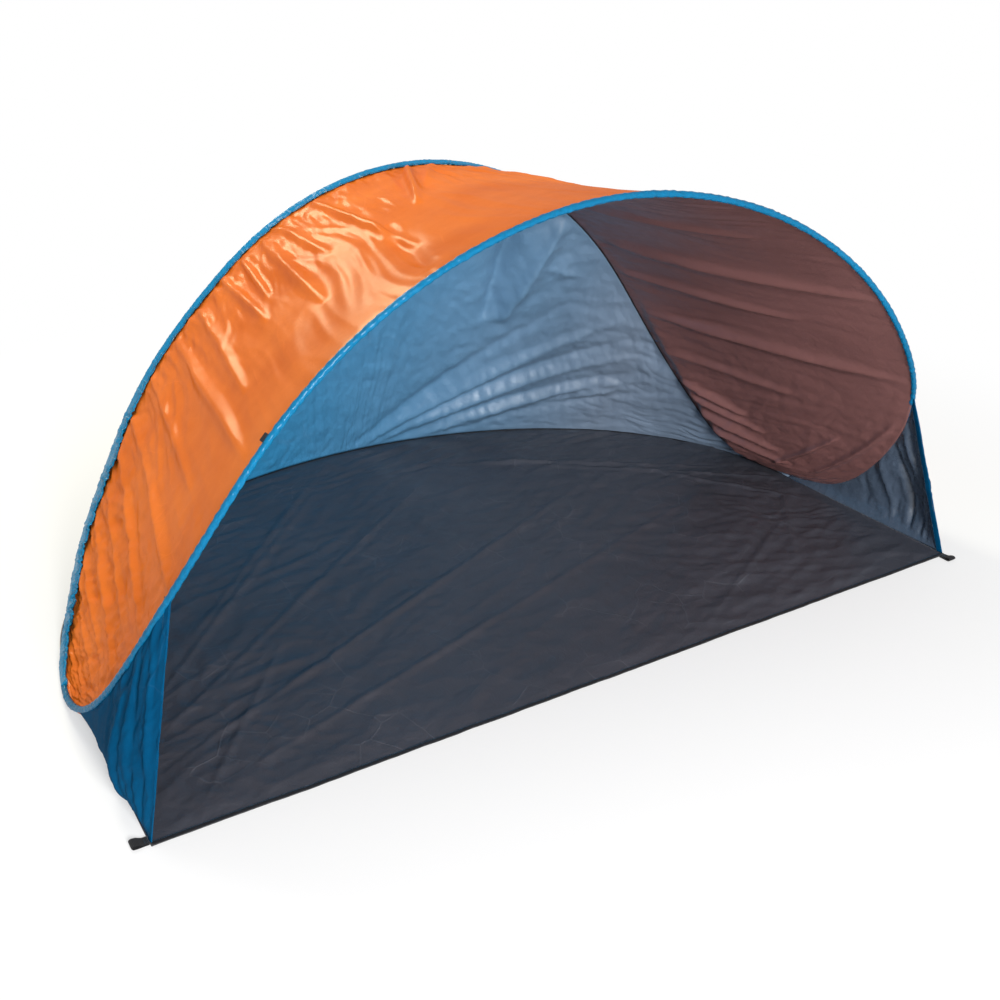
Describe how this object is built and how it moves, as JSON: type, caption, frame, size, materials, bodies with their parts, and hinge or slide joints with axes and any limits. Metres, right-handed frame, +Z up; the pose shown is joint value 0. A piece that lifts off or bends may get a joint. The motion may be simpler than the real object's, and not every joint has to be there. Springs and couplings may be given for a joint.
{
  "type": "pop-up beach tent",
  "caption": "Open-fronted pop-up beach shelter: one sprung wire hoop bent over into two arches, sleeved, with a roof panel, back wall, side wings, groundsheet and peg loops.",
  "frame": {"origin": "on the ground, in the middle of the groundsheet's underside", "axes": "+X runs along the opening to the right as seen from in front, +Y from the opening to the back, +Z up"},
  "size_m": [2.2621, 1.5739, 1.0858],
  "materials": {
    "orange_cloth": "satin",
    "blue_cloth": "satin",
    "blue_sleeve": "satin",
    "charcoal_cloth": "satin",
    "black_webbing": "matte",
    "spring_steel": "satin",
    "crimped_steel": "satin"
  },
  "bodies": {
    "shelter": {"hoop_rear": "spring_steel", "hoop_ferrule": "crimped_steel", "sleeve_rear": "blue_sleeve", "canopy": "orange_cloth", "canopy_end_left": "orange_cloth", "canopy_end_right": "orange_cloth", "back_wall": "blue_cloth", "floor_rear": "charcoal_cloth", "floor_seam_tape": "black_webbing"},
    "front_arch": {"hoop_front": "spring_steel", "sleeve_front": "blue_sleeve", "side_wing_left": "blue_cloth", "side_wing_right": "blue_cloth", "wing_hem_left": "blue_cloth", "wing_hem_right": "blue_cloth", "floor_front": "charcoal_cloth", "front_edge_tape": "black_webbing", "seam_tab": "black_webbing"},
    "loop_front_left": {"peg_loop_front_left": "black_webbing"},
    "loop_front_right": {"peg_loop_front_right": "black_webbing"},
    "loop_rear": {"peg_loop_rear": "black_webbing"}
  },
  "joints": [
    {"name": "arch_fold", "type": "hinge", "parent": "shelter", "child": "front_arch", "pos_m": [0, -0.14939, 0.00936], "axis": [-1, 0, 0], "range_deg": [0, 25], "stiffness_Nm_per_rad": 4, "deforming": ["canopy_end_left", "canopy_end_right"]},
    {"name": "peg_loop_front_left_swing", "type": "hinge", "parent": "front_arch", "child": "loop_front_left", "pos_m": [-1.1003, -0.736, 0.0032], "axis": [0, 1, 0], "range_deg": [0, 80]},
    {"name": "peg_loop_front_right_swing", "type": "hinge", "parent": "front_arch", "child": "loop_front_right", "pos_m": [1.0875, -0.7571, 0.0032], "axis": [-1, 0, 0], "range_deg": [0, 85]},
    {"name": "peg_loop_rear_swing", "type": "hinge", "parent": "shelter", "child": "loop_rear", "pos_m": [0, 0.7488, 0.0032], "axis": [1, 0, 0], "range_deg": [0, 90]}
  ]
}
